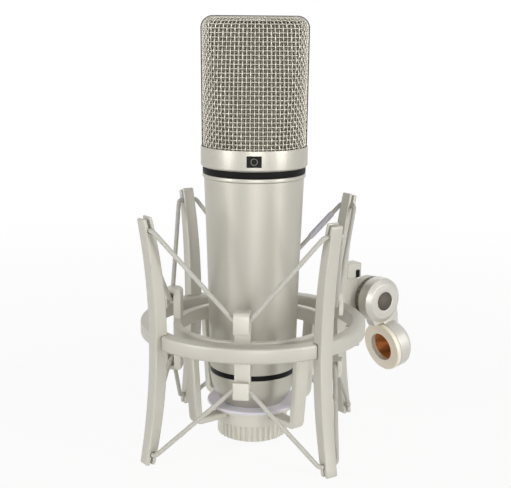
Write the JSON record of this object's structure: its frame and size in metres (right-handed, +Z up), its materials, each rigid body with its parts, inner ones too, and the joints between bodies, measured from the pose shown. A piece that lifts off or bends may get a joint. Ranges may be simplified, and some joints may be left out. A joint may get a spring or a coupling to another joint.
{
  "type": "condenser microphone",
  "caption": "Large side-address studio microphone with a woven head, hung by two elastic cords in a four-armed suspension with a swivel thread socket.",
  "frame": {"origin": "on the microphone's axis, in the plane that the suspension's four arms stand on", "axes": "+Z up along the microphone's axis, -Y out of the microphone's front"},
  "size_m": [0.1523, 0.1239, 0.2273],
  "materials": {
    "satin_nickel_body": "satin champagne nickel",
    "satin_nickel_frame": "satin champagne lacquer on die casting",
    "mesh_wire": "woven nickel-plated wire",
    "fine_mesh": "fine woven wire",
    "black_band": "matt black",
    "badge_black": "black enamel plate",
    "cushion": "pale lilac-grey soft plastic",
    "elastic": "braided fabric over elastic",
    "splice": "pale shrink sleeve",
    "dark_steel": "dark steel",
    "socket_face": "satin cream nickel",
    "brass_thread": "machined brass thread",
    "serrated": "grey serrated disc",
    "diaphragm": "gold-coated film",
    "capsule_brass": "machined brass",
    "inner_plastic": "cream insulating plastic",
    "circuit": "green laminate",
    "transformer": "laminated core in black shell",
    "capacitor": "sleeved capacitor",
    "chassis": "machined rod",
    "contact_gold": "plated contact",
    "insert": "black insulator"
  },
  "bodies": {
    "frame": {"outer_ring": "satin_nickel_frame", "arm_front_left": "satin_nickel_frame", "arm_front_right": "satin_nickel_frame", "arm_back_right": "satin_nickel_frame", "arm_back_left": "satin_nickel_frame", "swivel_bracket": "satin_nickel_frame", "pivot_bolt": "dark_steel", "upper_elastic": "elastic", "lower_elastic": "elastic", "upper_splice_sleeve": "splice", "lower_splice_sleeve": "splice"},
    "cradle": {"cradle_ring": "satin_nickel_frame", "hook_front": "satin_nickel_frame", "hook_right": "satin_nickel_frame", "hook_back": "satin_nickel_frame", "hook_left": "satin_nickel_frame", "leg_front_left": "satin_nickel_frame", "leg_front_right": "satin_nickel_frame", "leg_back_right": "satin_nickel_frame", "leg_back_left": "satin_nickel_frame", "cradle_hub": "satin_nickel_frame", "cushion_washer": "cushion"},
    "nut": {"clamp_nut": "satin_nickel_frame"},
    "swivel": {"swivel_lever": "satin_nickel_frame", "friction_disc": "serrated", "socket_face_ring": "socket_face", "socket_thread_bush": "brass_thread"},
    "knob": {"pivot_knob": "satin_nickel_frame"},
    "microphone": {"end_bell": "satin_nickel_body", "label_ring": "black_band", "body_tube": "satin_nickel_body", "collar_seal_ring": "black_band", "head_collar": "satin_nickel_body", "pattern_plate": "badge_black", "outer_mesh_head": "mesh_wire", "inner_mesh_head": "fine_mesh", "head_deck": "inner_plastic", "capsule_post": "inner_plastic", "capsule_body": "capsule_brass", "front_diaphragm": "diaphragm", "rear_diaphragm": "diaphragm", "front_clamp_ring": "capsule_brass", "rear_clamp_ring": "capsule_brass", "capsule_screws": "contact_gold", "chassis_rails": "chassis", "circuit_board": "circuit", "output_transformer": "transformer", "board_capacitors": "capacitor", "connector_insert": "insert", "connector_pins": "contact_gold"}
  },
  "joints": [
    {"name": "cradle_bounce", "type": "slide", "parent": "frame", "child": "cradle", "axis": [0, 0, 1], "range_m": [-0.0025, 0.005], "stiffness_N_per_m": 2600, "springref_m": 0.00386, "deforming": ["upper_elastic", "upper_splice_sleeve", "lower_elastic", "lower_splice_sleeve"]},
    {"name": "microphone_lift", "type": "slide", "parent": "cradle", "child": "microphone", "axis": [0, 0, 1], "range_m": [0, 0.2]},
    {"name": "nut_turn", "type": "hinge", "parent": "cradle", "child": "nut", "pos_m": [0, 0, 0.011], "axis": [0, 0, 1], "continuous": true},
    {"name": "swivel_tilt", "type": "hinge", "parent": "frame", "child": "swivel", "pos_m": [0.06796, 0.04937, 0.067], "axis": [0.5878, -0.809, 0], "range_deg": [-5, 150]},
    {"name": "knob_turn", "type": "hinge", "parent": "frame", "child": "knob", "pos_m": [0.06796, 0.04937, 0.067], "axis": [0.5878, -0.809, 0], "continuous": true}
  ]
}
